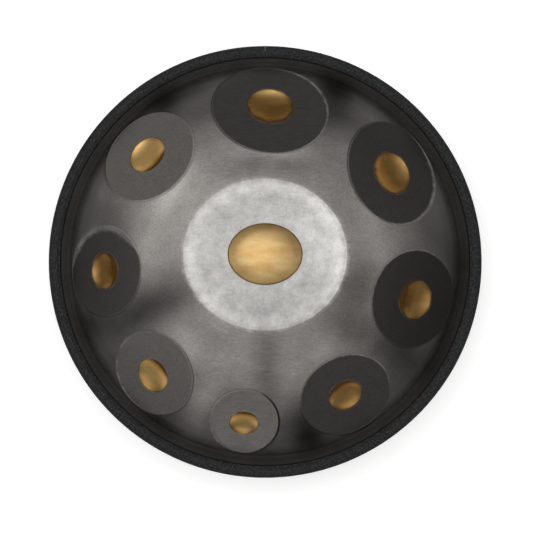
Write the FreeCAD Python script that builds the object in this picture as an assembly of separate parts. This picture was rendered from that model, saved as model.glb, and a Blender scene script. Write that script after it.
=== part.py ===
"""Handpan: two thin steel half-shells bonded at a flange, with an edging pushed over the flange's edge.

Millimetres, +Z up. The origin is at the centre of the flat ring round the sound port on which the
instrument stands, so the lowest plane is Z = 0 and the playing side faces +Z. Bearings are degrees
anticlockwise from +X, seen from above. The player sits on the -Y side.

Each half-shell is first drawn as a filled outer body and a filled inner body one sheet thickness
smaller. The tone fields, dimples and centre dome are worked into both, and the sheet is the difference.
"""
import FreeCAD, Part
import math
import os
from FreeCAD import Vector

# --- Driving dimensions -------------------------------------------------------------------------

OVERALL_DIAMETER = 560.0        # over the edging
SHEET = 1.2                     # steel sheet thickness
BOND_THICKNESS = 0.4            # adhesive between the flanges
BOND_SETBACK = 1.0              # of its two edges from the fillet and the flange's edge

# Half-shell profile, on its outer face, from the crown down to the flange
CROWN_RADIUS = 400.0            # radius of curvature of the crown
SHOULDER_START = 200.0          # distance from the axis where the crown meets the tighter shoulder
WALL_FOOT = 251.5               # distance from the axis where the wall meets the flange's fillet
WALL_ANGLE = 60.0               # slope of the wall at its foot, degrees
FOOT_FILLET = 4.0               # concave fillet between wall and flange
FLANGE_RADIUS = 274.0           # outer edge of the flange

# Tone fields: flattened ovals whose border is a small step in the sheet, sizes as seen from above
FIELD_STEP = 0.9                # drop of the sheet at the border
FIELD_FLATNESS = 0.8            # 1 is a flat drumhead, 0 is the curve of the dome
DIMPLE_DEPTH = 5.0
DING_STEP = 0.3                 # the centre field is only slightly flattened
DING_FLATNESS = 0.5
DING_FIELD_LENGTH = 201.0
DING_FIELD_WIDTH = 186.0
DING_LENGTH = 91.5              # raised centre dome, along X
DING_WIDTH = 75.5
DING_RISE = 9.0

# bearing, distance of the centre from the axis, length, width, turn of the long axis away from the
# tangent, then the dimple's length, width and offset outwards from the middle of the field
TONE_FIELDS = [
    (88.1, 188.5, 147.0, 121.0, -11.0, 59.0, 48.0, 5.0),
    (138.8, 195.3, 126.5, 107.5, 1.0, 50.0, 41.0, 3.8),
    (184.8, 202.6, 114.7, 93.3, -1.0, 46.0, 35.0, 1.3),
    (226.4, 202.2, 109.5, 92.5, -14.0, 44.0, 35.5, 3.2),
    (262.7, 208.6, 85.5, 80.5, 3.0, 36.0, 29.0, 1.7),
    (300.2, 200.4, 116.5, 96.0, -2.0, 44.0, 34.0, 0.5),
    (344.3, 193.3, 123.5, 104.5, -5.0, 50.0, 41.0, 3.7),
    (33.7, 193.2, 137.5, 110.0, -15.0, 56.0, 45.0, 0.5),
]

# Sound port in the bottom shell
PORT_RADIUS = 50.0              # inside of the neck
NECK_LENGTH = 25.0              # from the standing ring to the neck's upper edge
NECK_FILLET = 7.0               # outer face, between standing ring and neck
SEAT_OUTER_RADIUS = 66.0        # outer edge of the flat standing ring
SEAT_FILLET = 20.0              # between the dome and the standing ring

# Edging: a U-section strip with a butt seam at the back
EDGING_LIP_RADIUS = 264.6       # inner edge of the two lips
EDGING_HEIGHT = 10.4            # over both lips at their thickest
LIP_EDGE_HEIGHT = 3.4           # of a lip's inner edge above the middle plane
LIP_ROUNDING = 1.2
CREST_PLACE = 0.45              # where it is thickest, as a share of its width from the lip
BACK_ROUNDING = 2.0             # width of the rounded back
BACK_HEIGHT = 0.7               # where that starts, as a share of the greatest half height
CHANNEL_FLOOR_RADIUS = 274.6    # the flange's edge stops just short of it
SEAM_GAP = 0.3
SEAM_BEARING = 90.0

# Steel carrier moulded inside the edging
CORE_THICKNESS = 0.5
CORE_LIP_RADIUS = 267.0
CORE_COVER = 0.7                # edging material between the channel and the carrier

# Derived
RIM_RADIUS = OVERALL_DIAMETER / 2.0
WALL = math.radians(WALL_ANGLE)
SHOULDER_SLOPE = math.asin(SHOULDER_START / CROWN_RADIUS)
SHOULDER_RADIUS = (WALL_FOOT - SHOULDER_START) / (math.sin(WALL) - math.sin(SHOULDER_SLOPE))
SHOULDER_CENTRE_R = SHOULDER_START - SHOULDER_RADIUS * math.sin(SHOULDER_SLOPE)
SHOULDER_CENTRE_Z = SHEET + FOOT_FILLET * (1.0 - math.cos(WALL)) - SHOULDER_RADIUS * math.cos(WALL)
CROWN_CENTRE_Z = SHOULDER_CENTRE_Z + (SHOULDER_RADIUS - CROWN_RADIUS) * math.cos(SHOULDER_SLOPE)
FILLET_CENTRE_R = WALL_FOOT + FOOT_FILLET * math.sin(WALL)
FILLET_CENTRE_Z = SHEET + FOOT_FILLET

SEAT_HEIGHT = (CROWN_CENTRE_Z + SEAT_FILLET
               + math.sqrt((CROWN_RADIUS - SEAT_FILLET) ** 2 - SEAT_OUTER_RADIUS ** 2))
CHANNEL_HALF = SHEET + BOND_THICKNESS / 2.0
EDGING_WIDTH = RIM_RADIUS - EDGING_LIP_RADIUS

GRID = 15                       # points each way through which a field's surface is drawn
OVERRUN = 1.08                  # how far that surface runs past the field's border
TOOL_REACH = 60.0               # height of the tools that clear the metal above a field
CAP_CENTRE = 0.45               # where a dimple's ellipsoid is centred, as a share of its half height


# --- Small geometry helpers ---------------------------------------------------------------------

def point(r, z):
    """Point of a profile that will be turned about Z."""
    return Vector(r, 0.0, z)


def line(start, end):
    return Part.LineSegment(start, end).toShape()


def arc(centre, radius, slope_from, slope_to):
    """Arc of a profile between two slopes; a slope is the angle of its normal from +Z."""
    def at(slope):
        return point(centre[0] + radius * math.sin(slope), centre[1] + radius * math.cos(slope))
    return Part.Arc(at(slope_from), at(0.5 * (slope_from + slope_to)), at(slope_to)).toShape()


def end_of(edge):
    return edge.valueAt(edge.LastParameter)


def start_of(edge):
    return edge.valueAt(edge.FirstParameter)


def turned(edges):
    """Solid of revolution about Z of a closed profile."""
    face = Part.Face(Part.Wire(edges))
    return face.revolve(Vector(0, 0, 0), Vector(0, 0, 1), 360.0)


def tube(inner, outer, low, high):
    size = high - low
    body = Part.makeCylinder(outer, size, Vector(0, 0, low))
    return body.cut(Part.makeCylinder(inner, size, Vector(0, 0, low)))


def ellipse_prism(x, y, length, width, bearing, low, height):
    """Upright prism over an ellipse whose long axis points along the bearing."""
    ring = Part.Ellipse(Vector(0, 0, 0), length / 2.0, width / 2.0).toShape()
    prism = Part.Face(Part.Wire([ring])).extrude(Vector(0, 0, height))
    prism.rotate(Vector(0, 0, 0), Vector(0, 0, 1), bearing)
    prism.translate(Vector(x, y, low))
    return prism


def ellipsoid(half_axes, centre, long_axis, normal):
    """Ellipsoid with its first half axis along long_axis and its third along normal."""
    cross_axis = normal.cross(long_axis)
    columns = [axis * size for axis, size in zip((long_axis, cross_axis, normal), half_axes)]
    rows = [[column[i] for column in columns] + [centre[i]] for i in range(3)]
    matrix = FreeCAD.Matrix(*rows[0], *rows[1], *rows[2], 0, 0, 0, 1)
    return Part.makeSphere(1.0).transformGeometry(matrix)


# --- The dome -----------------------------------------------------------------------------------

def dome_height(r):
    """Height of a half-shell's outer face above its mating plane.

    Past the wall's foot, where a tone field's tool overruns the border, it carries straight on.
    """
    if r <= SHOULDER_START:
        return CROWN_CENTRE_Z + math.sqrt(CROWN_RADIUS ** 2 - r ** 2)
    if r <= WALL_FOOT:
        return SHOULDER_CENTRE_Z + math.sqrt(SHOULDER_RADIUS ** 2 - (r - SHOULDER_CENTRE_R) ** 2)
    foot_height = SHOULDER_CENTRE_Z + SHOULDER_RADIUS * math.cos(WALL)
    return foot_height - (r - WALL_FOOT) * math.tan(WALL)


def dome_edges(inset, start_slope=0.0):
    """Profile of the dome and its fillet, from start_slope on the crown to the flange."""
    crown = arc((0.0, CROWN_CENTRE_Z), CROWN_RADIUS - inset, start_slope, SHOULDER_SLOPE)
    shoulder = arc((SHOULDER_CENTRE_R, SHOULDER_CENTRE_Z), SHOULDER_RADIUS - inset,
                   SHOULDER_SLOPE, WALL)
    fillet = arc((FILLET_CENTRE_R, FILLET_CENTRE_Z), -(FOOT_FILLET + inset), WALL, 0.0)
    return [crown, shoulder, fillet]


def filled_dome(inset):
    """The space inside a half-shell's face; the inner one runs on below the mating plane."""
    edges = dome_edges(inset)
    apex = start_of(edges[0])
    foot = end_of(edges[-1])
    if inset == 0.0:
        flange = point(FLANGE_RADIUS, foot.z)
        corner = point(FLANGE_RADIUS, 0.0)
        edges += [line(foot, flange), line(flange, corner)]
    else:
        corner = point(foot.x, -SHEET)
        edges += [line(foot, corner)]
    base = point(0.0, corner.z)
    edges += [line(corner, base), line(base, apex)]
    return turned(edges)


# --- Tone fields --------------------------------------------------------------------------------

class Field:
    """A flattened oval of the playing shell.

    Its methods with an inset work at that depth below the outer face, so that the same field can be
    worked into the filled outer body and the filled inner one.
    """

    def __init__(self, bearing, distance, length, width, turn, step, flatness):
        angle = math.radians(bearing)
        self.outward = Vector(math.cos(angle), math.sin(angle), 0.0)
        self.centre = self.outward * distance
        self.long_bearing = bearing + 90.0 + turn
        long_angle = math.radians(self.long_bearing)
        self.along = Vector(math.cos(long_angle), math.sin(long_angle), 0.0)
        self.across = Vector(-math.sin(long_angle), math.cos(long_angle), 0.0)
        self.half_length = length / 2.0
        self.half_width = width / 2.0
        self.step = step
        self.flatness = flatness
        self.set_chord()

    def dome(self, place):
        return dome_height(math.hypot(place.x, place.y)) - self.step

    def oval_radius(self, offset):
        """0 at the centre of the oval and 1 on its border."""
        return math.hypot(offset.dot(self.along) / self.half_length,
                          offset.dot(self.across) / self.half_width)

    def set_chord(self):
        """The plane that is level along the tangent and meets the border on the radial line."""
        reach = 1.0 / self.oval_radius(self.outward)
        outer = self.dome(self.centre + self.outward * reach)
        inner = self.dome(self.centre - self.outward * reach)
        self.centre_height = 0.5 * (outer + inner)
        self.fall = (inner - outer) / (2.0 * reach)
        self.normal = (self.outward * self.fall + Vector(0, 0, 1)).normalize()

    def chord_height(self, offset):
        return self.centre_height - self.fall * offset.dot(self.outward)

    def height(self, place):
        """Drumhead stretched over the border, with some of the dome's curve left in it."""
        offset = place - self.centre
        radius = self.oval_radius(offset)
        drum = self.chord_height(offset)
        if radius > 1e-6:
            border = offset * (1.0 / radius)
            lift = self.dome(self.centre + border) - self.chord_height(border)
            drum += lift * radius ** 2
        return self.flatness * drum + (1.0 - self.flatness) * self.dome(place)

    def tool(self, inset):
        """Everything above the field's surface, within its border."""
        rows = []
        for i in range(GRID):
            row = []
            for j in range(GRID):
                u = OVERRUN * (2.0 * i / (GRID - 1) - 1.0) * self.half_length
                v = OVERRUN * (2.0 * j / (GRID - 1) - 1.0) * self.half_width
                place = self.centre + self.along * u + self.across * v
                depth = inset / self.normal.z
                row.append(Vector(place.x, place.y, self.height(place) - depth))
            rows.append(row)
        surface = Part.BSplineSurface()
        surface.interpolate(rows)
        above = surface.toShape().extrude(Vector(0, 0, TOOL_REACH))
        low = self.centre_height - TOOL_REACH
        prism = ellipse_prism(self.centre.x, self.centre.y, 2.0 * (self.half_length + inset),
                              2.0 * (self.half_width + inset), self.long_bearing, low,
                              3.0 * TOOL_REACH)
        return above.common(prism)

    def cap(self, length, width, offset, rise, inset):
        """Ellipsoid whose cap stands on the field, offset outwards from its middle by this much.

        A negative rise is a bowl.
        """
        side = math.copysign(1.0, rise)
        half_height = abs(rise) / (1.0 - CAP_CENTRE)
        spread = math.sqrt(1.0 - CAP_CENTRE ** 2)
        half_axes = (length / 2.0 / spread - side * inset,
                     width / self.normal.z / 2.0 / spread - side * inset,
                     half_height - side * inset)
        place = self.centre + self.outward * offset
        surface = Vector(place.x, place.y, self.height(place))
        middle = surface - self.normal * (side * CAP_CENTRE * half_height)
        along = (self.along - self.normal * self.along.dot(self.normal)).normalize()
        return ellipsoid(half_axes, middle, along, self.normal)


def worked_dome(inset):
    """Filled dome with the centre dome, tone fields and dimples worked into its face."""
    body = filled_dome(inset)
    ding = Field(0.0, 0.0, DING_FIELD_LENGTH, DING_FIELD_WIDTH, -90.0, DING_STEP, DING_FLATNESS)
    body = body.cut(ding.tool(inset))
    body = body.fuse(ding.cap(DING_LENGTH, DING_WIDTH, 0.0, DING_RISE, inset))
    for bearing, distance, length, width, turn, *dimple in TONE_FIELDS:
        field = Field(bearing, distance, length, width, turn, FIELD_STEP, FIELD_FLATNESS)
        body = body.cut(field.tool(inset))
        body = body.cut(field.cap(*dimple, -DIMPLE_DEPTH, inset))
    return body


# --- The pieces, each about the mating plane of its own flange ----------------------------------

def make_top_shell():
    return worked_dome(0.0).cut(worked_dome(SHEET))


def port_edges(inset):
    """Face of the bottom shell from the neck's free edge to the flange, drawn with the dome up."""
    seat_slope = math.asin(SEAT_OUTER_RADIUS / (CROWN_RADIUS - SEAT_FILLET))
    blend_r = SEAT_OUTER_RADIUS
    blend_z = CROWN_CENTRE_Z + (CROWN_RADIUS - SEAT_FILLET) * math.cos(seat_slope)
    blend = arc((blend_r, blend_z), SEAT_FILLET - inset, 0.0, seat_slope)
    bend_r = PORT_RADIUS + NECK_FILLET
    bend_z = SEAT_HEIGHT - NECK_FILLET
    bend = arc((bend_r, bend_z), NECK_FILLET - inset, math.radians(-90.0), 0.0)
    neck = line(point(PORT_RADIUS + inset, SEAT_HEIGHT - NECK_LENGTH), start_of(bend))
    seat = line(end_of(bend), start_of(blend))
    return [neck, bend, seat, blend] + dome_edges(inset, seat_slope)


def make_bottom_shell():
    outer = port_edges(0.0)
    inner = port_edges(SHEET)
    flange_top = point(FLANGE_RADIUS, SHEET)
    flange_foot = point(FLANGE_RADIUS, 0.0)
    rim = [line(end_of(outer[-1]), flange_top), line(flange_top, flange_foot),
           line(flange_foot, end_of(inner[-1]))]
    neck_end = line(start_of(inner[0]), start_of(outer[0]))
    return turned(outer + rim + inner[::-1] + [neck_end])


def make_flange_bond():
    return tube(FILLET_CENTRE_R + BOND_SETBACK, FLANGE_RADIUS - BOND_SETBACK, 0.0, BOND_THICKNESS)


def seamed(ring):
    """A ring of strip, cut through at its butt seam."""
    gap = Part.makeBox(RIM_RADIUS, SEAM_GAP, EDGING_HEIGHT * 2.0,
                       Vector(RIM_RADIUS / 2.0, -SEAM_GAP / 2.0, -EDGING_HEIGHT))
    gap.rotate(Vector(0, 0, 0), Vector(0, 0, 1), SEAM_BEARING)
    return ring.cut(gap)


def make_edging_core():
    """U-section carrier, open towards the axis."""
    leg_inside = CHANNEL_HALF + CORE_COVER
    leg_outside = leg_inside + CORE_THICKNESS
    web_inside = CHANNEL_FLOOR_RADIUS + CORE_COVER
    web_outside = web_inside + CORE_THICKNESS
    whole = tube(CORE_LIP_RADIUS, web_outside, -leg_outside, leg_outside)
    return whole.cut(tube(CORE_LIP_RADIUS - 1.0, web_inside, -leg_inside, leg_inside))


def make_edging():
    """Rounded strip with a channel for the two flanges."""
    crest = EDGING_HEIGHT / 2.0
    flank = LIP_EDGE_HEIGHT - LIP_ROUNDING
    lip_top = point(EDGING_LIP_RADIUS + LIP_ROUNDING, LIP_EDGE_HEIGHT)
    crown_top = point(EDGING_LIP_RADIUS + CREST_PLACE * EDGING_WIDTH, crest)
    shoulder_top = point(RIM_RADIUS - BACK_ROUNDING, BACK_HEIGHT * crest)
    upper = [lip_top, crown_top, shoulder_top]
    lower = [point(p.x, -p.z) for p in reversed(upper)]
    back = Part.BSplineCurve()
    back.interpolate(upper + [point(RIM_RADIUS, 0.0)] + lower)
    round_r = EDGING_LIP_RADIUS + LIP_ROUNDING
    left = math.radians(-90.0)
    upper_lip = arc((round_r, flank), LIP_ROUNDING, left, 0.0)
    lower_lip = arc((round_r, -flank), LIP_ROUNDING, left * 2.0, left)
    mouth_top = point(EDGING_LIP_RADIUS, CHANNEL_HALF)
    mouth_foot = point(EDGING_LIP_RADIUS, -CHANNEL_HALF)
    floor_top = point(CHANNEL_FLOOR_RADIUS, CHANNEL_HALF)
    floor_foot = point(CHANNEL_FLOOR_RADIUS, -CHANNEL_HALF)
    edges = [upper_lip, back.toShape(), lower_lip, line(end_of(lower_lip), mouth_foot),
             line(mouth_foot, floor_foot), line(floor_foot, floor_top),
             line(floor_top, mouth_top), line(mouth_top, start_of(upper_lip))]
    return turned(edges)


# --- Assembly -----------------------------------------------------------------------------------

def main():
    os.makedirs("parts", exist_ok=True)
    bottom_shell = make_bottom_shell()
    bottom_shell.rotate(Vector(0, 0, 0), Vector(1, 0, 0), 180.0)
    bottom_shell.translate(Vector(0, 0, SEAT_HEIGHT))
    flange_bond = make_flange_bond()
    flange_bond.translate(Vector(0, 0, SEAT_HEIGHT))
    top_shell = make_top_shell()
    top_shell.translate(Vector(0, 0, SEAT_HEIGHT + BOND_THICKNESS))
    core = make_edging_core()
    edging = seamed(make_edging().cut(core))
    core = seamed(core)
    for strip in (edging, core):
        strip.translate(Vector(0, 0, SEAT_HEIGHT + BOND_THICKNESS / 2.0))
    pieces = {
        "top_shell": top_shell,
        "bottom_shell": bottom_shell,
        "flange_bond": flange_bond,
        "rim_edging": edging,
        "edging_clip_core": core,
    }
    for name, shape in pieces.items():
        box = shape.BoundBox
        print(name, "solids", len(shape.Solids), "valid", shape.isValid(),
              "volume", round(shape.Volume), "z", round(box.ZMin, 3), round(box.ZMax, 3),
              "x", round(box.XMin, 2), round(box.XMax, 2))
        shape.exportStep("parts/%s.step" % name)


main()
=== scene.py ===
"""Handpan: the finished shells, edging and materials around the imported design.

Metres, +Z up, in the design's own frame. Lengths below are written in millimetres and multiplied by
MM. Bearings are degrees anticlockwise from +X, seen from above.
"""

import math

import bpy
import numpy as np
from mathutils import Matrix, Vector, geometry


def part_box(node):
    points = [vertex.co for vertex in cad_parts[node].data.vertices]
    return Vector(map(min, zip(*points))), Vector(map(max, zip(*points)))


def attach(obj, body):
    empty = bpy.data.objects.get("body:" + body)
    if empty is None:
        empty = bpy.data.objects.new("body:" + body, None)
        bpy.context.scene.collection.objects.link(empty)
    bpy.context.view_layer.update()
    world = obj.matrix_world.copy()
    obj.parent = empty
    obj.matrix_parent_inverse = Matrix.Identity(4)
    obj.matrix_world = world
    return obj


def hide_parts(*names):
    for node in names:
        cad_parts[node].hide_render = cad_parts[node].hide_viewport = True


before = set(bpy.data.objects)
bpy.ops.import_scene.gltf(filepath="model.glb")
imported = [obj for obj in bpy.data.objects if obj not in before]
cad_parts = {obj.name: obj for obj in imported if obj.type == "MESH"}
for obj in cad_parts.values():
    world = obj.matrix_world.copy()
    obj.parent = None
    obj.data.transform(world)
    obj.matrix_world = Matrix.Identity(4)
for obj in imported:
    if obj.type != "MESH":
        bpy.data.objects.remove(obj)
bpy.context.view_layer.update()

MM = 0.001

# --- Places taken from the design -----------------------------------

edging_low, edging_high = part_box("rim_edging")
shell_low, shell_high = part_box("top_shell")
bottom_low, bottom_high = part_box("bottom_shell")

RIM_RADIUS = min(-edging_low.x, -edging_low.y, edging_high.x, edging_high.y)
RIM_HEIGHT = 0.5 * (edging_low.z + edging_high.z)
MATE_HEIGHT = shell_low.z               # where the top shell's flange meets the bond
FLANGE_RADIUS = shell_high.x
BOTTOM_MATE_HEIGHT = bottom_high.z
EDGING_CREST = 0.5 * (edging_high.z - edging_low.z)

# --- Shell profile --------------------------------------------------

SHEET = 1.2 * MM
CROWN_RADIUS = 400.0 * MM
SHOULDER_START = 200.0 * MM
WALL_FOOT = 251.5 * MM
WALL = math.radians(60.0)
FOOT_FILLET = 4.0 * MM
SHOULDER_SLOPE = math.asin(SHOULDER_START / CROWN_RADIUS)
SHOULDER_RADIUS = (WALL_FOOT - SHOULDER_START) / (math.sin(WALL) - math.sin(SHOULDER_SLOPE))
SHOULDER_CENTRE_R = SHOULDER_START - SHOULDER_RADIUS * math.sin(SHOULDER_SLOPE)
SHOULDER_CENTRE_Z = SHEET + FOOT_FILLET * (1.0 - math.cos(WALL)) - SHOULDER_RADIUS * math.cos(WALL)
CROWN_CENTRE_Z = SHOULDER_CENTRE_Z + (SHOULDER_RADIUS - CROWN_RADIUS) * math.cos(SHOULDER_SLOPE)
FILLET_CENTRE_R = WALL_FOOT + FOOT_FILLET * math.sin(WALL)
FILLET_CENTRE_Z = SHEET + FOOT_FILLET

PORT_RADIUS = 50.0 * MM
NECK_LENGTH = 25.0 * MM
NECK_FILLET = 7.0 * MM
SEAT_OUTER_RADIUS = 66.0 * MM
SEAT_FILLET = 20.0 * MM
SEAT_HEIGHT = BOTTOM_MATE_HEIGHT - bottom_low.z

EDGING_LIP_RADIUS = 264.6 * MM
LIP_EDGE_HEIGHT = 3.4 * MM
LIP_ROUNDING = 1.2 * MM
CREST_PLACE = 0.45                      # of the section's width, from the lip to its highest point
BACK_ACROSS = 0.9                       # powers that fill out the quarter round of the back
BACK_HEIGHT = 0.8
CHANNEL_FLOOR_RADIUS = 274.6 * MM
SEAM_GAP = 0.1 * MM
SEAM_BEARING = math.radians(90.0)

# --- Tone fields ----------------------------------------------------

FIELD_STEP = 0.9 * MM
FIELD_FLATNESS = 0.8                    # 0 follows the dome, 1 is a flat drumhead
BORDER_HALF = 1.3 * MM                  # half the width of the rounded step at a field's border
FIELD_REACH = 4.0 * BORDER_HALF         # outside a border, beyond which the field changes nothing
DIMPLE_DEPTH = 5.0 * MM
CAP_CUT = 0.45                          # height at which a half ellipsoid of height 1 is cut to a cap
CAP_SOFTNESS = 0.09                     # rounding of a cap's edge, as a share of its height
DING_STEP = 0.3 * MM
DING_FLATNESS = 0.5
DING_RISE = 8.98 * MM
CREASE = 0.25 * MM                      # depth of the fine groove round a dimple or the ding
CREASE_HALF = 0.6 * MM
CLOSE_TO_MIDDLE = 1e-4                  # share of an oval where the short half axis is the distance
TINY = 1e-6                             # keeps divisors above zero
HAMMER_HEIGHT = 0.07 * MM
HAMMER_WAVES = 14
HAMMER_LENGTHS = (18.0, 46.0)           # shortest and longest of the waves, in mm
HAMMER_START = (46.0 * MM, 60.0 * MM)   # distance from the axis where the hammering fades in
HAMMER_SEED = 5

# Plan of each field in degrees and mm: bearing, distance from the axis, length, width and turn from
# the tangent, then the dimple's length, width and offset outwards
FIELD_SHAPES = [
    (88.1, 188.5, 147.0, 121.0, -11.0, 59.0, 48.0, 5.0),
    (138.8, 195.3, 126.5, 107.5, 1.0, 50.0, 41.0, 3.8),
    (184.8, 202.6, 114.7, 93.3, -1.0, 46.0, 35.0, 1.3),
    (226.4, 202.2, 109.5, 92.5, -14.0, 44.0, 35.5, 3.2),
    (262.7, 208.6, 85.5, 80.5, 3.0, 36.0, 29.0, 1.7),
    (300.2, 200.4, 116.5, 96.0, -2.0, 44.0, 34.0, 0.5),
    (344.3, 193.3, 123.5, 104.5, -5.0, 50.0, 41.0, 3.7),
    (33.7, 193.2, 137.5, 110.0, -15.0, 56.0, 45.0, 0.5),
]
DING_SHAPE = (0.0, 0.0, 201.0, 186.0, -90.0, 91.5, 75.5, 0.0)   # bare centre, and raised dome

# Finish of each field, with painted light and shade in it: its tone, partly painted light and shade,
# how much lighter it gets towards the axis (a power of e at the inner border), the bearing of the side
# where its border is rubbed bright and carries a painted highlight, how far in the rubbing reaches in
# mm, how dark the painted shade line in the border's foot is on the other side, and how tarnished the
# dimple is at its outer side, middle and inner side, the tarnish partly painted shade on the side away
# from the light (below 0 is a painted highlight)
FIELD_FINISHES = [
    (0.066, 0.0, 10.0, 1.0, 0.6, (0.10, 0.60, 0.85)),
    (0.170, 0.05, -30.0, 1.5, 0.6, (-0.55, -1.1, 1.00)),
    (0.064, 0.38, 100.0, 7.0, 0.4, (0.45, 0.45, 1.20)),
    (0.156, 0.17, 170.0, 1.0, 0.5, (0.34, -0.85, 0.90)),
    (0.218, 0.0, 172.0, 2.5, 1.0, (0.50, -0.45, 0.80)),
    (0.069, 0.1, 80.0, 0.5, 0.6, (0.45, 0.20, 1.00)),
    (0.038, 0.42, 120.0, 0.5, 0.6, (0.50, 0.33, 1.15)),
    (0.053, 0.18, -15.0, 2.5, 0.6, (0.28, 0.50, 0.60)),
]
# Tarnish of the ding, partly painted shade: darker towards its upper right
DING_TARNISH_AND_SHADE = (0.10, 0.12, 0.20)       # at its lower left, middle and upper right
DING_DARKENING_BEARING = 55.0             # from its lower left to its upper right
DING_DARKENING_MARGIN = 1.0 * MM          # outside its edge that still counts as the ding
TARNISH_AND_LIGHT_PLACES = (-0.75, 0.0, 0.75)     # of those three, in half widths of the dimple or the ding
# The rubbed side is also the lit side; its brightness is partly a painted highlight
RUBBED_LIT_SIDE = (0.1, 0.9)                # cosines from the rubbed side where wear begins and is full

# Distance from the axis in mm, and the tone of the steel there: its own tone with painted shade
# darkening it towards the rim, a painted highlight at the wall's foot and a painted shadow line under
# the edging's lip
GROUND_TONES = [
    (0.0, 0.20),
    (116.0, 0.20),
    (142.0, 0.24),
    (168.0, 0.23),
    (194.0, 0.18),
    (213.0, 0.15),
    (233.0, 0.055),
    (244.0, 0.06),
    (248.3, 0.14),
    (251.5, 0.30),
    (252.6, 0.09),
    (253.4, 0.032),
    (254.5, 0.016),
    (256.0, 0.012),
    (262.6, 0.015),
    (263.4, 0.012),
    (264.4, 0.002),
]

# Painted highlights and painted shade between the fields, in place of reflections: bearing, distance
# from the axis, half reach along the radius and across it in mm, and how many times lighter or darker
# the steel is in the middle of the patch
PAINTED_LIGHT_PATCHES = [
    (145.0, 145.0, 34.0, 50.0, 2.1),
    (86.0, 131.0, 12.0, 34.0, 1.7),
    (178.0, 150.0, 16.0, 24.0, 1.4),
    (230.0, 149.0, 14.0, 24.0, 1.35),
    (302.0, 141.0, 12.0, 22.0, 1.2),
    (19.0, 141.0, 16.0, 20.0, 1.25),
    (0.0, 142.0, 14.0, 16.0, 1.3),
    (204.0, 152.0, 60.0, 22.0, 0.28),
    (247.0, 208.0, 36.0, 20.0, 2.0),
    (271.0, 134.0, 46.0, 15.0, 0.62),
    (341.0, 122.0, 26.0, 30.0, 0.5),
    (68.5, 237.0, 18.0, 24.0, 0.30),
    (66.0, 214.0, 34.0, 24.0, 0.36),
    (49.0, 140.0, 20.0, 30.0, 0.85),
    (113.0, 235.0, 14.0, 20.0, 0.6),
    (123.0, 239.0, 20.0, 25.0, 0.24),
    (284.0, 236.0, 17.0, 22.0, 0.32),
    (283.5, 217.0, 26.0, 18.0, 0.38),
    (2.0, 234.0, 18.0, 26.0, 0.6),
    (325.0, 205.0, 50.0, 26.0, 0.42),
    (318.0, 134.0, 36.0, 26.0, 0.55),
    (90.0, 113.0, 14.0, 60.0, 0.72),
    (345.0, 242.0, 14.0, 70.0, 0.45),
    (200.0, 238.0, 16.0, 22.0, 0.45),
    (158.0, 210.0, 40.0, 16.0, 1.4),
    (237.0, 246.0, 10.0, 24.0, 0.4),
]

# The same painted highlights and painted shade, for the bare centre
PAINTED_BARE_LIGHT = [
    (12.0, 80.0, 46.0, 70.0, 1.38),
    (266.0, 78.0, 30.0, 44.0, 0.85),
    (100.0, 78.0, 30.0, 50.0, 0.93),
]


# --- The dome as a formula (arrays of x and y in metres) ------------

def dome_height(r):
    """Height of the shell's outer face above its mating plane."""
    crown = CROWN_CENTRE_Z + np.sqrt(CROWN_RADIUS ** 2 - np.minimum(r, SHOULDER_START) ** 2)
    across = np.clip(r, SHOULDER_START, WALL_FOOT) - SHOULDER_CENTRE_R
    shoulder = SHOULDER_CENTRE_Z + np.sqrt(SHOULDER_RADIUS ** 2 - across ** 2)
    past_foot = np.maximum(r - WALL_FOOT, 0.0) * math.tan(WALL)
    return np.where(r <= SHOULDER_START, crown, shoulder) - past_foot


def smooth_step(value, low, high):
    """0 below low, 1 above high, with a smooth turn at both."""
    t = np.clip((value - low) / (high - low), 0.0, 1.0)
    return t * t * (3.0 - 2.0 * t)


def soft_positive(value, softness):
    """Value where it is above zero, with a rounded turn at zero."""
    return 0.5 * (value + np.sqrt(value ** 2 + softness ** 2))


def cap_profile(radius):
    """Shape of a dimple or the ding: 1 at the middle, 0 at its edge, part of an ellipsoid."""
    spread = math.sqrt(1.0 - CAP_CUT ** 2)
    inside = np.clip(1.0 - (radius * spread) ** 2, 0.0, 1.0)
    return (np.sqrt(inside) - CAP_CUT) / (1.0 - CAP_CUT)


def direction(bearing):
    """Unit vector in plan."""
    angle = math.radians(bearing)
    return np.array([math.cos(angle), math.sin(angle)])


class Oval:
    """An ellipse seen from above."""

    def __init__(self, centre, bearing, length, width):
        self.centre = np.array(centre)
        self.along = np.array([math.cos(bearing), math.sin(bearing)])
        self.across = np.array([-math.sin(bearing), math.cos(bearing)])
        self.half = np.array([length / 2.0, width / 2.0])

    def local(self, places):
        offset = places - self.centre
        return np.stack([offset @ self.along, offset @ self.across], -1)

    def radius(self, places):
        return np.linalg.norm(self.local(places) / self.half, axis=-1)

    def edge_distance(self, places):
        """Distance from the border, in metres, negative inside; exact close to the border."""
        local = self.local(places)
        radius = np.linalg.norm(local / self.half, axis=-1)
        slope = np.linalg.norm(local / self.half ** 2, axis=-1)
        reach = radius / np.maximum(slope, TINY)
        reach = np.where(radius > CLOSE_TO_MIDDLE, reach, self.half.min())
        return (radius - 1.0) * reach

    def ring(self, half, count):
        """Points on the concentric ellipse with these half axes."""
        turn = np.arange(count) * 2.0 * math.pi / count
        u = half[0] * np.cos(turn)
        v = half[1] * np.sin(turn)
        return self.centre + np.outer(u, self.along) + np.outer(v, self.across)


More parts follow.
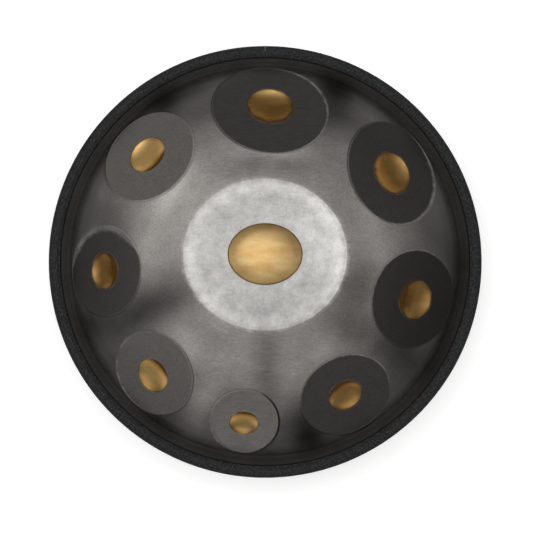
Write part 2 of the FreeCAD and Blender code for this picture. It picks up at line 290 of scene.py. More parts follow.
class Field:
    """A flattened oval of the playing shell with a pressed or raised cap in its middle."""

    def __init__(self, shape, step, flatness, rise):
        bearing, distance, length, width, turn, cap_length, cap_width, cap_offset = shape
        long_angle = math.radians(bearing + 90.0 + turn)
        self.outward = direction(bearing)
        centre = self.outward * (distance * MM)
        cap_centre = centre + self.outward * (cap_offset * MM)
        self.border = Oval(centre, long_angle, length * MM, width * MM)
        self.cap = Oval(cap_centre, long_angle, cap_length * MM, cap_width * MM)
        self.step = step
        self.flatness = flatness
        self.rise = rise
        self.set_chord()

    def dome(self, places):
        return dome_height(np.linalg.norm(places, axis=-1)) - self.step

    def set_chord(self):
        """The straight line through the border's outermost and innermost points."""
        centre = self.border.centre
        reach = 1.0 / self.border.radius(centre + self.outward)
        outer = float(self.dome(centre + self.outward * reach))
        inner = float(self.dome(centre - self.outward * reach))
        self.centre_height = 0.5 * (outer + inner)
        self.fall = (inner - outer) / (2.0 * reach)
        self.upright = 1.0 / math.sqrt(1.0 + self.fall ** 2)

    def chord(self, offset):
        return self.centre_height - self.fall * (offset @ self.outward)

    def drumhead(self, places):
        """The nearly flat surface stretched over the border."""
        offset = places - self.border.centre
        radius = np.maximum(self.border.radius(places), TINY)
        at_border = offset / radius[..., None]
        lift = self.dome(self.border.centre + at_border) - self.chord(at_border)
        drum = self.chord(offset) + lift * radius ** 2
        return self.flatness * drum + (1.0 - self.flatness) * self.dome(places)

    def shaped(self, places, height):
        """The height of the shell with this field worked into it."""
        distance = self.border.edge_distance(places)
        near = distance < FIELD_REACH
        inside = 1.0 - smooth_step(distance, -BORDER_HALF, BORDER_HALF)
        drum = np.where(near, self.drumhead(places), height)
        height = height + inside * (drum - height)
        cap = soft_positive(cap_profile(self.cap.radius(places)), CAP_SOFTNESS)
        crease = CREASE * np.exp(-(self.cap.edge_distance(places) / CREASE_HALF) ** 2)
        return height + np.where(near, (self.rise * cap - crease) / self.upright, 0.0)


ding = Field(DING_SHAPE, DING_STEP, DING_FLATNESS, DING_RISE)
fields = [Field(shape, FIELD_STEP, FIELD_FLATNESS, -DIMPLE_DEPTH) for shape in FIELD_SHAPES]


def hammering(places):
    """The faint unevenness that tuning leaves, smooth and the same every time."""
    chance = np.random.default_rng(HAMMER_SEED)
    total = np.zeros(places.shape[:-1])
    for _ in range(HAMMER_WAVES):
        heading = chance.uniform(0.0, 2.0 * math.pi)
        length = chance.uniform(*HAMMER_LENGTHS) * MM
        phase = chance.uniform(0.0, 2.0 * math.pi)
        along = places @ np.array([math.cos(heading), math.sin(heading)])
        total += np.sin(2.0 * math.pi * along / length + phase)
    worked = smooth_step(np.linalg.norm(places, axis=-1), *HAMMER_START)
    return HAMMER_HEIGHT * worked * total / math.sqrt(HAMMER_WAVES)


def shell_height(places):
    """Height of the playing shell's outer face above its mating plane, at places in plan."""
    height = dome_height(np.linalg.norm(places, axis=-1))
    for field in [ding] + fields:
        height = field.shaped(places, height)
    return height + hammering(places)


# --- Meshes from arrays ---------------------------------------------

SHARP_ANGLE = 40.0                      # degrees between faces, above which an edge isn't smoothed


def make_piece(name, points, faces, sharp_angle=SHARP_ANGLE):
    """Smooth-shaded mesh object from points in metres and faces of point numbers."""
    mesh = bpy.data.meshes.new(name)
    mesh.from_pydata([tuple(p) for p in points], [], [tuple(f) for f in faces])
    mesh.validate()
    mesh.shade_smooth()
    mesh.set_sharp_from_angle(angle=math.radians(sharp_angle))
    piece = bpy.data.objects.new(name, mesh)
    bpy.context.scene.collection.objects.link(piece)
    return piece


def add_attribute(piece, name, values):
    layer = piece.data.attributes.new(name, "FLOAT", "POINT")
    layer.data.foreach_set("value", np.asarray(values, dtype=np.float32))


def arc_points(centre, radius, slope_from, slope_to, count):
    """Points of a profile between two slopes; a slope is the angle of the normal from +Z."""
    slopes = np.linspace(slope_from, slope_to, count)
    return [(centre[0] + radius * math.sin(s), centre[1] + radius * math.cos(s)) for s in slopes]


def bridge(first, second, count):
    """Quads between two closed rings of the same number of points."""
    step = np.arange(count)
    following = (step + 1) % count
    return np.stack([first + step, first + following, second + following, second + step], -1)


def plain(faces):
    """Rows of an array as lists of whole numbers."""
    return [list(map(int, face)) for face in faces]


def circle(radius, count):
    """Plan points evenly round a circle about the axis."""
    turn = np.arange(count) * 2.0 * math.pi / count
    return np.stack([radius * np.cos(turn), radius * np.sin(turn)], -1)


def turned_piece(name, section, segments):
    """Closed section of (radius, height) pairs turned about Z."""
    rings = [np.column_stack([circle(r, segments), np.full(segments, z)]) for r, z in section]
    faces = [bridge(i * segments, ((i + 1) % len(section)) * segments, segments)
             for i in range(len(section))]
    return make_piece(name, np.concatenate(rings), np.concatenate(faces))


# --- Playing shell --------------------------------------------------

RING_POINTS = 160                       # points round each field
FOOT_POINTS = 640                       # points round the wall's foot
FILLET_RINGS = 9
FLANGE_RINGS = 24
GROUND_PITCH = 4.0 * MM                 # of the points between the fields
FINE_PITCH = 0.35 * MM                  # of the rings at a cap's edge and at a field's border
CAP_FINE = 2.1 * MM                     # each side of a cap's edge, where the rings are fine
BORDER_FINE = BORDER_HALF + 0.4 * MM    # inside a field's border, where the rings are fine
PATCH_MARGIN = 1.6 * MM                 # of a field's rings, outside its border
FIRST_RING = 0.04                       # size of the innermost ring, as a share of the cap
CAP_RING_STEP = 0.07
FIELD_RING_STEP = 0.06
MERGE_DISTANCE = 1e-9                   # metres, under which two points in plan are one
OUTER_RING_SLACK = 0.98                 # a triangle's middle can lie a little inside the outer ring


def spread(low, high, pitch):
    """Evenly spaced values from low to high, at most the pitch apart, without the last."""
    count = max(int(math.ceil((high - low) / pitch)), 1)
    return list(low + (high - low) * np.arange(count) / count)


def field_rings(field):
    """Half axes of the rings that mesh one field: close together at the cap's edge and border."""
    cap = field.cap.half
    border = field.border.half
    gap = float(np.mean(border - cap))
    rings = [cap * t for t in spread(FIRST_RING, 1.0 - CAP_FINE / cap[1], CAP_RING_STEP)]
    rings += [cap + d for d in spread(-CAP_FINE, CAP_FINE, FINE_PITCH)]
    for share in spread(CAP_FINE / gap, 1.0 - BORDER_FINE / gap, FIELD_RING_STEP):
        rings.append(cap + (border - cap) * share)
    rings += [border + d for d in spread(-BORDER_FINE, PATCH_MARGIN, FINE_PITCH)]
    return rings + [border + PATCH_MARGIN]


def field_patch(field):
    """Plan points and faces of one field's patch, and the number of its outer ring's first point."""
    rings = field_rings(field)
    points = [field.border.centre[None, :]]
    points += [field.border.ring(half, RING_POINTS) for half in rings]
    first = np.arange(RING_POINTS)
    fan = np.stack([np.zeros(RING_POINTS, int), 1 + first, 1 + (first + 1) % RING_POINTS], -1)
    faces = plain(fan)
    for i in range(len(rings) - 1):
        quads = bridge(1 + (i + 1) * RING_POINTS, 1 + i * RING_POINTS, RING_POINTS)
        faces += plain(quads[:, ::-1])
    return np.concatenate(points), faces, 1 + (len(rings) - 1) * RING_POINTS


def ground_points(patches):
    """Points between the fields, in a triangular pattern clear of the rings."""
    rows = np.arange(-WALL_FOOT, WALL_FOOT, GROUND_PITCH * math.sqrt(0.75))
    places = []
    for i, y in enumerate(rows):
        x = np.arange(-WALL_FOOT, WALL_FOOT, GROUND_PITCH) + 0.5 * GROUND_PITCH * (i % 2)
        places.append(np.stack([x, np.full(len(x), y)], -1))
    places = np.concatenate(places)
    clear = np.linalg.norm(places, axis=-1) < WALL_FOOT - 0.5 * GROUND_PITCH
    for field in patches:
        clear &= field.border.edge_distance(places) > PATCH_MARGIN + 0.5 * GROUND_PITCH
    return places[clear]


def fill_between(points, loops, ground, patches):
    """Triangles of point numbers between the fields' outer rings and the wall's foot."""
    kept = np.concatenate(loops + [ground])
    edges = []
    start = 0
    for loop in loops:
        size = len(loop)
        edges += [(start + k, start + (k + 1) % size) for k in range(size)]
        start += size
    plan = [Vector(points[k]) for k in kept]
    result = geometry.delaunay_2d_cdt(plan, edges, [], 0, MERGE_DISTANCE)
    triangles = np.array([t for t in result[2] if len(t) == 3])
    original = np.array([ids[0] for ids in result[3]])
    triangles = kept[original[triangles]]
    middle = points[triangles].mean(1)
    outside = np.ones(len(triangles), bool)
    for field in patches:
        outside &= field.border.edge_distance(middle) > PATCH_MARGIN * OUTER_RING_SLACK
    return plain(triangles[outside])


def plan_mesh():
    """Plan points and faces of the dome inside the wall's foot, and the foot's point numbers."""
    patches = [ding] + fields
    points = []
    faces = []
    loops = []
    count = 0
    for field in patches:
        patch_points, patch_faces, outer = field_patch(field)
        points.append(patch_points)
        faces += [[count + n for n in face] for face in patch_faces]
        loops.append(count + outer + np.arange(RING_POINTS))
        count += len(patch_points)
    points.append(circle(WALL_FOOT, FOOT_POINTS))
    foot = count + np.arange(FOOT_POINTS)
    count += FOOT_POINTS
    between = ground_points(patches)
    points = np.concatenate(points + [between])
    ground = count + np.arange(len(between))
    faces += fill_between(points, loops + [foot], ground, patches)
    return points, faces, foot


def point_normals(points, faces):
    """Normals of the points, from the triangles and quads round them."""
    total = np.zeros_like(points)
    for size in (3, 4):
        group = np.array([f for f in faces if len(f) == size])
        corner = points[group]
        normal = np.cross(corner[:, 2] - corner[:, 0], corner[:, -1] - corner[:, 1])
        for k in range(size):
            np.add.at(total, group[:, k], normal)
    return total / np.linalg.norm(total, axis=1)[:, None]


def facing_up(points, faces):
    """The same faces, each turned so that its normal points up."""
    turned = []
    for face in faces:
        a, b, c = points[face[0]], points[face[1]], points[face[2]]
        up = (b[0] - a[0]) * (c[1] - a[1]) - (b[1] - a[1]) * (c[0] - a[0])
        turned.append(face if up > 0.0 else face[::-1])
    return turned


def flange_rings():
    """(radius, height) of the rings from the wall's foot to the flange's edge."""
    centre = (FILLET_CENTRE_R, FILLET_CENTRE_Z)
    fillet = arc_points(centre, -FOOT_FILLET, WALL, 0.0, FILLET_RINGS)[1:]
    flat = [(r, SHEET) for r in np.linspace(FILLET_CENTRE_R, FLANGE_RADIUS, FLANGE_RINGS)[1:]]
    return fillet + flat


def make_top_shell():
    plan, faces, foot = plan_mesh()
    faces = facing_up(plan, faces)
    points = np.column_stack([plan, shell_height(plan)])
    previous = foot[0]
    for r, z in flange_rings():
        ring = np.column_stack([circle(r, FOOT_POINTS), np.full(FOOT_POINTS, z)])
        faces += plain(bridge(len(points), previous, FOOT_POINTS))
        previous = len(points)
        points = np.concatenate([points, ring])
    inner = points - SHEET * point_normals(points, faces)
    count = len(points)
    closed = faces + [[count + n for n in reversed(face)] for face in faces]
    closed += plain(bridge(previous, previous + count, FOOT_POINTS)[:, ::-1])
    points = np.concatenate([points, inner])
    inner_face = np.arange(len(points)) >= count
    points[:, 2] += MATE_HEIGHT
    piece = make_piece("playing_shell", points, closed)
    add_shell_attributes(piece, points[:, :2], inner_face)
    return piece


def ground_tone(places):
    """Tone of the bare steel between the fields, with the painted shade and highlight of its radial
    curve, without the painted light patches.
    """
    radii, levels = np.array(GROUND_TONES).T
    return np.interp(np.linalg.norm(places, axis=1) / MM, radii, levels)


def with_painted_light(places, tone, patches):
    """The tone made lighter or darker by soft oval patches of painted highlight and painted shade."""
    for bearing, distance, along, across, factor in patches:
        outward = direction(bearing)
        sideways = np.array([-outward[1], outward[0]])
        offset = places / MM - outward * distance
        reach = (offset @ outward / along) ** 2 + (offset @ sideways / across) ** 2
        tone = tone * factor ** np.exp(-reach)
    return tone


def cap_tarnish_and_light(places, nearest, towards_axis, rows):
    """How tarnished the nearest dimple or the ding is, partly painted shade on one side and, below 0, a
    painted highlight.
    """
    total = np.zeros(len(places))
    for k, row in enumerate(rows):
        total += (nearest == k) * np.interp(towards_axis, TARNISH_AND_LIGHT_PLACES, row)
    across = places @ direction(DING_DARKENING_BEARING) / ding.cap.half[1]
    on_ding = ding.cap.edge_distance(places) < DING_DARKENING_MARGIN
    return np.where(on_ding, np.interp(across, TARNISH_AND_LIGHT_PLACES, DING_TARNISH_AND_SHADE), total)


def add_shell_attributes(piece, places, inner_face):
    """Distances in millimetres and tones, painted light and shade among them, that the steel's finish
    follows.
    """
    tone, lean, rubbed_lit, worn, shade, tarnish_and_light = zip(*FIELD_FINISHES)
    distances = np.stack([field.border.edge_distance(places) for field in fields])
    caps = np.stack([field.cap.edge_distance(places) for field in fields])
    nearest = distances.argmin(0)

    def of_nearest(values):
        return np.array(values)[nearest]

    outward = of_nearest([field.outward for field in fields])
    offset = places - of_nearest([field.border.centre for field in fields])
    breadth = of_nearest([field.border.half.mean() for field in fields])
    outer_share = np.clip((offset * outward).sum(1) / breadth, -1.0, 1.0)
    length = np.maximum(np.linalg.norm(offset, axis=1), TINY)
    toward_rubbed_lit = (offset * of_nearest([direction(b) for b in rubbed_lit])).sum(1) / length
    cap_offset = places - of_nearest([field.cap.centre for field in fields])
    cap_half = of_nearest([field.cap.half.mean() for field in fields])
    towards_axis = -(cap_offset * outward).sum(1) / cap_half
    attributes = {
        "field_edge": distances.min(0) / MM,
        "dimple_edge": caps.min(0) / MM,
        "ding_edge": ding.cap.edge_distance(places) / MM,
        "bare_edge": ding.border.edge_distance(places) / MM,
        "field_tone": of_nearest(tone) * np.exp(-of_nearest(lean) * outer_share),
        "ground_tone": with_painted_light(places, ground_tone(places), PAINTED_LIGHT_PATCHES),
        "bare_painted_light": with_painted_light(places, np.ones(len(places)), PAINTED_BARE_LIGHT),
        "tarnish_and_light": cap_tarnish_and_light(places, nearest, towards_axis, tarnish_and_light),
        "rubbed_lit": toward_rubbed_lit,
        "worn": of_nearest(worn) * smooth_step(toward_rubbed_lit, *RUBBED_LIT_SIDE),
        "shade": of_nearest(shade),
        "inner_face": inner_face,
    }
    for name, values in attributes.items():
        add_attribute(piece, name, values)


# --- Bottom shell and edging ----------------------------------------

BOWL_SEGMENTS = 512
NECK_POINTS = 8
BEND_POINTS = 13
BLEND_POINTS = 5
CROWN_POINTS = 40
SHOULDER_POINTS = 28
EDGING_SEGMENTS = 1440
EDGING_SHARP_ANGLE = 50.0
LIP_POINTS = 7
RISE_POINTS = 8
BACK_POINTS = 16
CHANNEL_POINTS = 5


def port_profile(inset):
    """Face of the bottom shell from the neck's free edge to the flange, drawn with the dome up."""
    seat_slope = math.asin(SEAT_OUTER_RADIUS / (CROWN_RADIUS - SEAT_FILLET))
    blend_centre = (SEAT_OUTER_RADIUS, SEAT_HEIGHT - SEAT_FILLET)
    crown_centre = (0.0, CROWN_CENTRE_Z)
    bend_centre = (PORT_RADIUS + NECK_FILLET, SEAT_HEIGHT - NECK_FILLET)
    shoulder_centre = (SHOULDER_CENTRE_R, SHOULDER_CENTRE_Z)
    fillet_centre = (FILLET_CENTRE_R, FILLET_CENTRE_Z)
    heights = np.linspace(SEAT_HEIGHT - NECK_LENGTH, SEAT_HEIGHT - NECK_FILLET, NECK_POINTS)
    neck = [(PORT_RADIUS + inset, z) for z in heights[:-1]]
    bend = arc_points(bend_centre, NECK_FILLET - inset, math.radians(-90.0), 0.0, BEND_POINTS)
    blend = arc_points(blend_centre, SEAT_FILLET - inset, 0.0, seat_slope, BLEND_POINTS)
    crown = arc_points(crown_centre, CROWN_RADIUS - inset, seat_slope, SHOULDER_SLOPE, CROWN_POINTS)[1:]
    shoulder = arc_points(shoulder_centre, SHOULDER_RADIUS - inset, SHOULDER_SLOPE, WALL,
                          SHOULDER_POINTS)[1:]
    fillet = arc_points(fillet_centre, -(FOOT_FILLET + inset), WALL, 0.0, FILLET_RINGS)[1:]
    flange = [(FLANGE_RADIUS, SHEET - inset)]
    return neck + bend + blend + crown + shoulder + fillet + flange


def make_bottom_shell():
    section = port_profile(0.0) + port_profile(SHEET)[::-1]
    section = [(r, BOTTOM_MATE_HEIGHT - z) for r, z in section]
    return turned_piece("bottom_bowl", section[::-1], BOWL_SEGMENTS)


def edging_section():
    """Outline of the edging about its middle plane, from the upper lip round the back."""
    width = RIM_RADIUS - EDGING_LIP_RADIUS
    crest_r = EDGING_LIP_RADIUS + CREST_PLACE * width
    lip_centre = (EDGING_LIP_RADIUS + LIP_ROUNDING, LIP_EDGE_HEIGHT - LIP_ROUNDING)
    upper = arc_points(lip_centre, LIP_ROUNDING, math.radians(-90.0), 0.0, LIP_POINTS)
    start = upper[-1]
    rise = [(start[0] + (crest_r - start[0]) * t,
             start[1] + (EDGING_CREST - start[1]) * math.sin(0.5 * math.pi * t))
            for t in np.linspace(0.0, 1.0, RISE_POINTS)[1:]]
    back_width = RIM_RADIUS - crest_r
    back = []
    for turn in np.linspace(0.0, 0.5 * math.pi, BACK_POINTS)[1:]:
        across = math.sin(turn) ** BACK_ACROSS
        back.append((crest_r + back_width * across, EDGING_CREST * math.cos(turn) ** BACK_HEIGHT))
    upper_half = upper + rise + back
    lower_half = [(r, -z) for r, z in upper_half[-2::-1]]
    channel_half = 0.5 * (MATE_HEIGHT - BOTTOM_MATE_HEIGHT) + SHEET
    radii = np.linspace(EDGING_LIP_RADIUS, CHANNEL_FLOOR_RADIUS, CHANNEL_POINTS)
    channel = [(r, -channel_half) for r in radii] + [(r, channel_half) for r in radii[::-1]]
    return upper_half + lower_half + channel


def make_edging():
    """The strip as it is fitted: bent round the rim with its two cut ends meeting at the seam."""
    section = edging_section()
    gap = SEAM_GAP / RIM_RADIUS
    along = np.arange(EDGING_SEGMENTS + 1) / EDGING_SEGMENTS
    turn = SEAM_BEARING + gap / 2.0 + (2.0 * math.pi - gap) * along
    size = len(section)
    points = np.zeros((len(turn), size, 3))
    for k, (r, z) in enumerate(section):
        points[:, k, 0] = r * np.cos(turn)
        points[:, k, 1] = r * np.sin(turn)
        points[:, k, 2] = RIM_HEIGHT + z
    faces = []
    for i in range(EDGING_SEGMENTS):
        faces += plain(bridge(i * size, (i + 1) * size, size))
    faces.append(list(range(size))[::-1])
    faces.append([EDGING_SEGMENTS * size + k for k in range(size)])
    return make_piece("edging_strip", points.reshape(-1, 3), faces, EDGING_SHARP_ANGLE)


# --- Materials ------------------------------------------------------

class Nodes:
    """A material's node tree, built from short calls that each return an output."""

    def __init__(self, name):
        self.material = bpy.data.materials.new(name)
        self.material.use_nodes = True
        self.tree = self.material.node_tree
        self.tree.nodes.clear()
        self.output = self.tree.nodes.new("ShaderNodeOutputMaterial")
        coordinates = self.tree.nodes.new("ShaderNodeTexCoord")
        self.place = coordinates.outputs["Object"]

    def set_input(self, socket, value):
        if isinstance(value, bpy.types.NodeSocket):
            self.tree.links.new(value, socket)
        else:
            socket.default_value = value

    def math(self, operation, first, second=0.0, clamp=False):
        node = self.tree.nodes.new("ShaderNodeMath")
        node.operation = operation
        node.use_clamp = clamp
        self.set_input(node.inputs[0], first)
        self.set_input(node.inputs[1], second)
        return node.outputs[0]

    def plus(self, first, second, clamp=False):
        return self.math("ADD", first, second, clamp)

    def minus(self, first, second):
        return self.math("SUBTRACT", first, second)

    def times(self, first, second):
        return self.math("MULTIPLY", first, second)

    def apart(self, first, second):
        return self.math("ABSOLUTE", self.minus(first, second))

    def varied(self, tone, *swings):
        """The tone, swinging by each size as its value goes from 0 to 1 about 0.5."""
        for value, size in swings:
            tone = self.times(tone, self.plus(self.times(self.minus(value, 0.5), size * 2.0), 1.0))
        return tone

    def remap(self, value, low, high, to_low=0.0, to_high=1.0, smooth=True):
        """The value's way from low to high, taken to the second range and held at its ends."""
        node = self.tree.nodes.new("ShaderNodeMapRange")
        node.interpolation_type = "SMOOTHSTEP" if smooth else "LINEAR"
        self.set_input(node.inputs["Value"], value)
        ends = {"From Min": low, "From Max": high, "To Min": to_low, "To Max": to_high}
        for name, end in ends.items():
            self.set_input(node.inputs[name], end)
        return node.outputs["Result"]

    def attribute(self, name):
        node = self.tree.nodes.new("ShaderNodeAttribute")
        node.attribute_name = name
        return node.outputs["Fac"]

    def moved(self, scale, turn=0.0):
        """The place with each axis scaled after a turn about Z."""
        rotate = self.tree.nodes.new("ShaderNodeVectorRotate")
        rotate.rotation_type = "Z_AXIS"
        self.set_input(rotate.inputs["Vector"], self.place)
        rotate.inputs["Angle"].default_value = math.radians(turn)
        stretch = self.tree.nodes.new("ShaderNodeVectorMath")
        stretch.operation = "MULTIPLY"
        self.set_input(stretch.inputs[0], rotate.outputs[0])
        stretch.inputs[1].default_value = scale
        return stretch.outputs[0]

    def noise(self, feature, detail, roughness, place=None):
        """Noise from 0 to 1 about 0.5, its blobs about this many millimetres across."""
        node = self.tree.nodes.new("ShaderNodeTexNoise")
        self.set_input(node.inputs["Vector"], self.place if place is None else place)
        node.inputs["Scale"].default_value = 1.0 / (feature * MM)
        node.inputs["Detail"].default_value = detail
        node.inputs["Roughness"].default_value = roughness
        return node.outputs["Fac"]

    def cells(self, feature):
        """Distance from the middle of the nearest grain, each about this many millimetres across."""
        node = self.tree.nodes.new("ShaderNodeTexVoronoi")
        self.set_input(node.inputs["Vector"], self.place)
        node.inputs["Scale"].default_value = 1.0 / (feature * MM)
        return node.outputs["Distance"]

    def mix(self, factor, first, second):
        """Colour between two colours."""
        node = self.tree.nodes.new("ShaderNodeMix")
        node.data_type = "RGBA"
        self.set_input(node.inputs[0], factor)
        self.set_input(node.inputs[6], first)
        self.set_input(node.inputs[7], second)
        return node.outputs[2]

    def blend(self, factor, first, second):
        """Number between two numbers."""
        node = self.tree.nodes.new("ShaderNodeMix")
        node.data_type = "FLOAT"
        self.set_input(node.inputs[0], factor)
        self.set_input(node.inputs[2], first)
        self.set_input(node.inputs[3], second)
        return node.outputs[0]

    def tinted(self, value, tint):
        """Colour of this brightness and tint."""
        node = self.tree.nodes.new("ShaderNodeVectorMath")
        node.operation = "SCALE"
        node.inputs[0].default_value = tint
        self.set_input(node.inputs["Scale"], value)
        return node.outputs[0]

    def bump(self, height, distance, strength, normal=None):
        node = self.tree.nodes.new("ShaderNodeBump")
        node.inputs["Strength"].default_value = strength
        node.inputs["Distance"].default_value = distance
        self.set_input(node.inputs["Height"], height)
        if normal is not None:
            self.set_input(node.inputs["Normal"], normal)
        return node.outputs[0]

    def surface(self, colour, metallic, roughness, normal=None):
        shader = self.tree.nodes.new("ShaderNodeBsdfPrincipled")
        self.set_input(shader.inputs["Base Color"], colour)
        shader.inputs["Metallic"].default_value = metallic
        self.set_input(shader.inputs["Roughness"], roughness)
        if normal is not None:
            self.set_input(shader.inputs["Normal"], normal)
        self.tree.links.new(shader.outputs[0], self.output.inputs["Surface"])
        return shader


WARM_GREY = (1.065, 1.0, 0.945)
NEUTRAL = (1.0, 1.0, 0.995)
COOL_BLACK = (1.0, 1.0, 1.02)
BARE_STEEL = (1.02, 1.0, 0.965)
# Rubbed border, partly wear and partly a painted highlight on the lit side
RUBBED_LIT_STEEL = (0.31, 0.30, 0.29, 1.0)
# Painted shade in the foot of a field's border
FOOT_SHADE = (0.02, 0.02, 0.02, 1.0)
INNER_STEEL = (0.06, 0.06, 0.06, 1.0)
BRASS = ((0.53, 0.355, 0.145, 1.0), (0.47, 0.30, 0.11, 1.0))
DING_BRASS = ((0.505, 0.36, 0.170, 1.0), (0.46, 0.308, 0.130, 1.0))
DING_RIM = (0.74, 0.50, 0.20, 1.0)
# Painted highlight on a dimple's lit side
GOLD_HIGHLIGHT = (0.97, 0.62, 0.23, 1.0)
AMBER = (0.31, 0.17, 0.053, 1.0)
UMBER = (0.055, 0.026, 0.008, 1.0)
GOLD_SPECKS = (0.1, 0.05, 0.015, 1.0)
GOLD_SHEEN = (0.95, 0.72, 0.45, 1.0)
# Painted shade in the crease round each cap, and a patchy painted highlight beside it
CREASE_SHADE = (0.03, 0.028, 0.026, 1.0)
CREASE_HIGHLIGHT = (0.30, 0.28, 0.25, 1.0)
FINE_BUMP = 0.02 * MM
GRAIN_BUMP = 0.03 * MM
SOFT_BUMP = 0.05 * MM
PEBBLE_BUMP = 0.4 * MM


def sanding(nodes):
    """Short crossing scratches left by hand sanding, from 0 to 1 about 0.5."""
    first = nodes.noise(1.0, 3.0, 0.6, nodes.moved((1.3, 0.16, 1.0), 8.0))
    second = nodes.noise(1.0, 3.0, 0.6, nodes.moved((1.2, 0.2, 1.0), 52.0))
    third = nodes.noise(1.0, 3.0, 0.6, nodes.moved((1.2, 0.2, 1.0), -38.0))
    return nodes.times(nodes.plus(nodes.plus(first, second), third), 1.0 / 3.0)


class PlayingSteel(Nodes):
    """The playing shell's finishes, with painted light and shade. The edge values are millimetres
    outside an edge.
    """

    def __init__(self):
        super().__init__("playing_steel")
        self.grain = self.noise(2.2, 4.0, 0.7)
        self.scratches = sanding(self)
        self.strokes = self.noise(1.0, 4.0, 0.65, self.moved((0.06, 0.55, 1.0), 1.0))
        self.clouds = self.noise(38.0, 3.0, 0.55)
        self.blotches = self.noise(14.0, 4.0, 0.6)
        self.field_edge = self.attribute("field_edge")
        self.bare_edge = self.attribute("bare_edge")
        self.dimple_edge = self.attribute("dimple_edge")
        self.ding_edge = self.attribute("ding_edge")
        self.gold_edge = self.math("MINIMUM", self.dimple_edge, self.ding_edge)
        self.near_ding = self.remap(self.ding_edge, 4.0, 2.0)
        self.worn = self.attribute("worn")
        raggedness = self.plus(self.times(self.worn, 0.7), 1.6)
        self.ragged = self.times(self.minus(self.noise(4.0, 4.0, 0.6), 0.5), raggedness)

    def ground(self):
        """Bare dome between the fields, its tone carrying painted highlights and painted shade."""
        tone = self.varied(self.attribute("ground_tone"), (self.grain, 0.34), (self.scratches, 0.35),
                           (self.clouds, 0.30), (self.strokes, 0.40))
        return self.tinted(tone, WARM_GREY)

    def field_mask(self):
        """1 on the tone fields, its edge a little ragged."""
        edge = self.plus(self.plus(self.field_edge, self.ragged), self.worn)
        softness = self.plus(self.times(self.worn, 0.3), 0.8)
        return self.remap(edge, softness, self.times(softness, -1.0))

    def field(self):
        """Dark finish of the tone fields, each field's tone partly painted light and shade."""
        tone = self.varied(self.attribute("field_tone"), (self.grain, 0.30), (self.blotches, 0.12),
                           (self.strokes, 0.40))
        return self.tinted(tone, WARM_GREY)

    def with_border(self, colour):
        """Rubs the fields' borders bright on one side, partly wear and partly a painted highlight, and
        paints shade in their foot on the other side.
        """
        middle = self.minus(self.times(self.worn, 0.45), 0.6)
        border = self.math("ABSOLUTE", self.plus(self.plus(self.field_edge, self.ragged), middle))
        reach = self.plus(self.times(self.worn, 0.55), 1.7)
        rubbed_lit = self.attribute("rubbed_lit")
        rub_and_highlight = self.times(self.remap(border, reach, 0.2), self.remap(rubbed_lit, *RUBBED_LIT_SIDE))
        rub_and_highlight = self.times(rub_and_highlight, self.remap(self.blotches, 0.35, 0.6, 0.3, 0.85))
        colour = self.mix(rub_and_highlight, colour, RUBBED_LIT_STEEL)
        # Painted shade in the border's foot, on the side away from the lit one
        shade = self.attribute("shade")
        breadth = self.plus(self.times(shade, 1.6), 0.7)
        foot = self.remap(self.apart(self.field_edge, 1.4), breadth, 0.2)
        depth = self.remap(rubbed_lit, -0.2, -0.8, 0.12, shade)
        return self.mix(self.times(foot, depth), colour, FOOT_SHADE)

    def bare_mask(self):
        """1 on the bare centre, its edge feathered."""
        feather = self.times(self.minus(self.noise(13.0, 4.0, 0.6), 0.5), 15.0)
        return self.remap(self.plus(self.bare_edge, feather), 6.0, -6.5)

    def bare(self):
        """Bare centre, sanded bright and blotchy, with painted highlights and painted shade."""
        shine = self.remap(self.bare_edge, -24.0, -6.0, 0.315, 0.40)
        # Painted highlights and painted shade across the bare centre
        shine = self.times(shine, self.attribute("bare_painted_light"))
        tone = self.varied(shine, (self.blotches, 0.42), (self.scratches, 0.60), (self.grain, 0.22),
                           (self.strokes, 0.15))
        return self.tinted(tone, BARE_STEEL)

    def gold(self):
        """Brass tone of the dimples and the ding, from a painted highlight through amber to umber; the
        darkening is partly tarnish and partly painted shade.
        """
        stain = self.noise(1.0, 3.0, 0.55, self.moved((0.028, 0.07, 0.05)))
        tarnish_and_light = self.attribute("tarnish_and_light")
        # Darker on each dimple's inner side and the ding's upper right: partly tarnish, partly painted
        # shade
        patina_and_shade = self.plus(tarnish_and_light, self.times(self.minus(stain, 0.5), 0.5), clamp=True)
        # Darker towards each dimple's edge
        edge_darkening = self.remap(self.gold_edge, -6.0, 0.0, 0.0, self.blend(self.near_ding, 0.45, 0.0))
        patina_and_shade = self.plus(patina_and_shade, self.times(edge_darkening, stain), clamp=True)
        streaks = self.remap(stain, 0.35, 0.65)
        ding_brass = self.mix(streaks, *DING_BRASS)
        ding_brass = self.mix(self.remap(self.ding_edge, -9.0, -0.5), ding_brass, DING_RIM)
        brass = self.mix(self.near_ding, self.mix(streaks, *BRASS), ding_brass)
        # Painted highlight where the tarnish value is below 0
        painted_highlight = self.times(self.math("MINIMUM", tarnish_and_light, 0.0), -0.6)
        colour = self.mix(painted_highlight, brass, GOLD_HIGHLIGHT)
        colour = self.mix(self.remap(patina_and_shade, 0.0, 0.5, smooth=False), colour, AMBER)
        colour = self.mix(self.remap(patina_and_shade, 0.5, 1.0, smooth=False), colour, UMBER)
        return self.mix(self.remap(self.grain, 0.3, 0.7, 0.0, 0.14), colour, GOLD_SPECKS)

